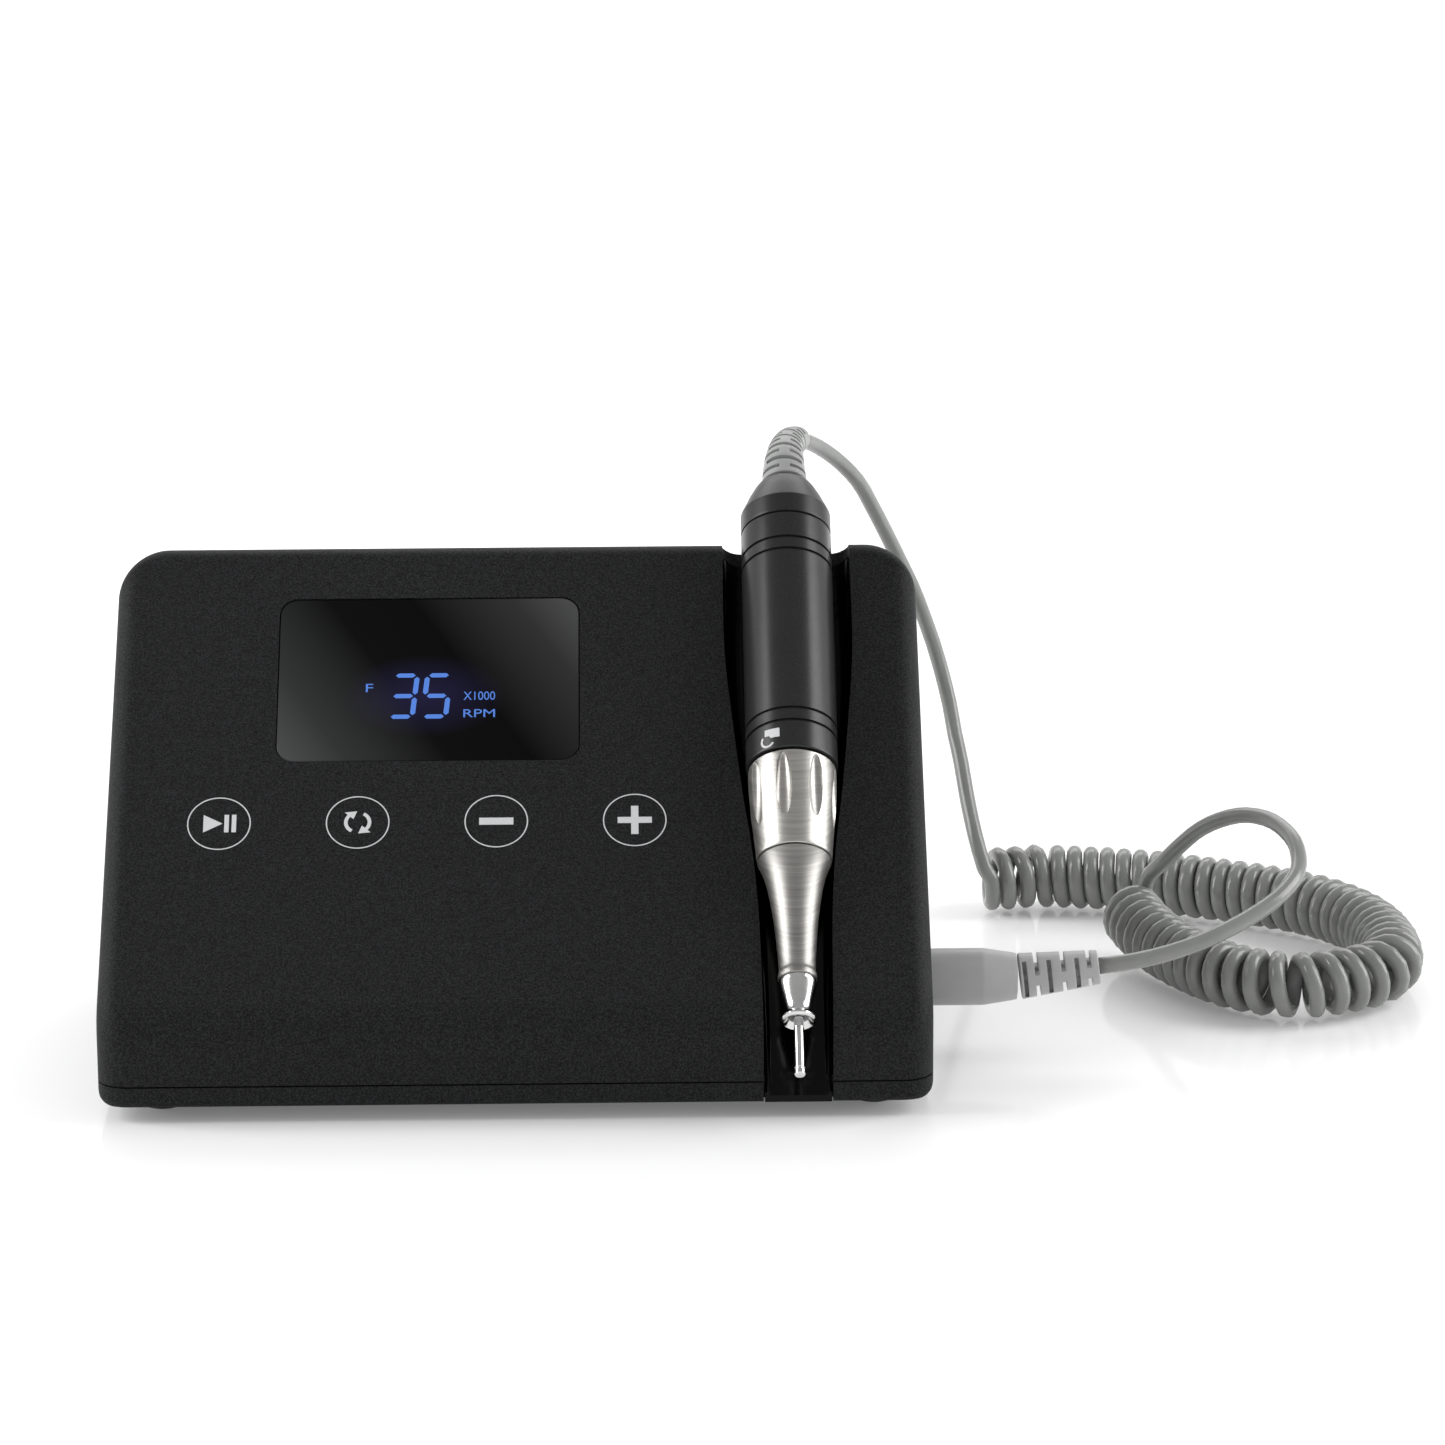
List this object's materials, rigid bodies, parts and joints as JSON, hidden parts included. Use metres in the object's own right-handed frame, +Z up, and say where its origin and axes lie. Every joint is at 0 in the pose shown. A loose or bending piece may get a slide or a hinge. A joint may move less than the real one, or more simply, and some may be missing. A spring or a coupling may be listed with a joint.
{
  "type": "electric nail drill",
  "caption": "Desktop electric nail drill: a black wedge control unit with display and touch keys, a handpiece in its cradle and a grey curly cord.",
  "frame": {"origin": "on the table, under the middle of the box round the control unit and its handpiece (cord left out)", "axes": "+Z up, +X to the right along the front, +Y from the front to the back"},
  "size_m": [0.3118, 0.1884, 0.1296],
  "materials": {
    "barrel": "black anodised",
    "bit_shank": "polished",
    "board_screw_1": "plated",
    "board_screw_2": "plated",
    "board_screw_3": "plated",
    "board_screw_4": "plated",
    "buzzer": "satin",
    "case_screw_1": "plated",
    "case_screw_2": "plated",
    "case_screw_3": "plated",
    "case_screw_4": "plated",
    "chuck_spring": "wire",
    "collet": "ground",
    "cord_coil": "semi-gloss",
    "cord_handpiece_lead": "semi-gloss",
    "cord_plug_lead": "semi-gloss",
    "dc_inlet": "satin",
    "display_board": "solder mask",
    "display_module": "satin",
    "display_window": "smoked, gloss",
    "driver_heatsink": "satin",
    "end_cap": "black anodised",
    "filter_capacitor": "sleeved",
    "foot_1": "moulded",
    "foot_2": "moulded",
    "foot_3": "moulded",
    "foot_4": "moulded",
    "front_bearing": "ground",
    "front_sleeve": "satin turned",
    "handpiece_boot": "satin",
    "handpiece_cradle": "gloss",
    "handpiece_socket": "gloss",
    "inner_housing": "machined",
    "lower_case": "fine textured",
    "main_board": "solder mask",
    "motor_can": "plated",
    "motor_coupling": "moulded",
    "motor_cover": "satin",
    "motor_rotor": "wound",
    "nose_cone": "polished",
    "plug_body": "satin",
    "plug_contacts": "plated",
    "plug_relief": "satin",
    "power_rocker": "gloss",
    "rear_bearing": "ground",
    "release_slider": "machined",
    "socket_nut": "plated",
    "spindle": "ground",
    "switch_housing": "gloss",
    "touch_board": "solder mask",
    "touch_electrode_1": "plated",
    "touch_electrode_2": "plated",
    "touch_electrode_3": "plated",
    "touch_electrode_4": "plated",
    "twist_sleeve": "satin turned",
    "upper_case": "fine textured"
  },
  "bodies": {
    "case": {"upper_case": "upper_case", "lower_case": "lower_case", "handpiece_cradle": "handpiece_cradle", "display_window": "display_window", "display_module": "display_module", "display_board": "display_board", "touch_board": "touch_board", "touch_electrode_1": "touch_electrode_1", "touch_electrode_2": "touch_electrode_2", "touch_electrode_3": "touch_electrode_3", "touch_electrode_4": "touch_electrode_4", "foot_1": "foot_1", "foot_2": "foot_2", "foot_3": "foot_3", "foot_4": "foot_4", "case_screw_1": "case_screw_1", "case_screw_2": "case_screw_2", "case_screw_3": "case_screw_3", "case_screw_4": "case_screw_4", "main_board": "main_board", "board_screw_1": "board_screw_1", "board_screw_2": "board_screw_2", "board_screw_3": "board_screw_3", "board_screw_4": "board_screw_4", "driver_heatsink": "driver_heatsink", "filter_capacitor": "filter_capacitor", "buzzer": "buzzer", "dc_inlet": "dc_inlet", "switch_housing": "switch_housing", "handpiece_socket": "handpiece_socket", "socket_nut": "socket_nut", "cord_handpiece_lead": "cord_handpiece_lead", "cord_coil": "cord_coil", "cord_plug_lead": "cord_plug_lead"},
    "rocker": {"power_rocker": "power_rocker"},
    "handpiece": {"nose_cone": "nose_cone", "front_sleeve": "front_sleeve", "front_bearing": "front_bearing", "inner_housing": "inner_housing", "rear_bearing": "rear_bearing", "barrel": "barrel", "end_cap": "end_cap", "motor_can": "motor_can", "motor_cover": "motor_cover", "handpiece_boot": "handpiece_boot"},
    "chuck_ring": {"twist_sleeve": "twist_sleeve"},
    "release": {"release_slider": "release_slider"},
    "spindle": {"spindle": "spindle", "collet": "collet", "chuck_spring": "chuck_spring", "motor_coupling": "motor_coupling", "motor_rotor": "motor_rotor"},
    "bit": {"bit_shank": "bit_shank"},
    "plug": {"plug_body": "plug_body", "plug_contacts": "plug_contacts", "plug_relief": "plug_relief"}
  },
  "joints": [
    {"name": "handpiece_lift", "type": "slide", "parent": "case", "child": "handpiece", "axis": [0, -0.6494, 0.7604], "range_m": [0, 0.06], "deforming": ["cord_handpiece_lead"]},
    {"name": "chuck_twist", "type": "hinge", "parent": "handpiece", "child": "chuck_ring", "pos_m": [0.064, -0.01018, 0.05886], "axis": [0, 0.7604, 0.6494], "range_deg": [0, 60]},
    {"name": "chuck_release", "type": "slide", "parent": "handpiece", "child": "release", "axis": [0, 0.7604, 0.6494], "range_m": [0, 0.0011]},
    {"name": "spindle_spin", "type": "hinge", "parent": "handpiece", "child": "spindle", "pos_m": [0.064, -0.01018, 0.05886], "axis": [0, 0.7604, 0.6494], "continuous": true},
    {"name": "bit_pull", "type": "slide", "parent": "spindle", "child": "bit", "axis": [0, -0.7604, -0.6494], "range_m": [0, 0.012]},
    {"name": "plug_pull", "type": "slide", "parent": "case", "child": "plug", "axis": [1, 0, 0], "range_m": [0, 0.012], "deforming": ["cord_plug_lead"]},
    {"name": "power_switch", "type": "hinge", "parent": "case", "child": "rocker", "pos_m": [-0.0315, 0.05619, 0.022], "axis": [1, 0, 0], "range_deg": [0, 16]}
  ],
  "couplings": [
    {"joint": "chuck_release", "follows": "chuck_twist", "m_per_rad": 0.001}
  ]
}
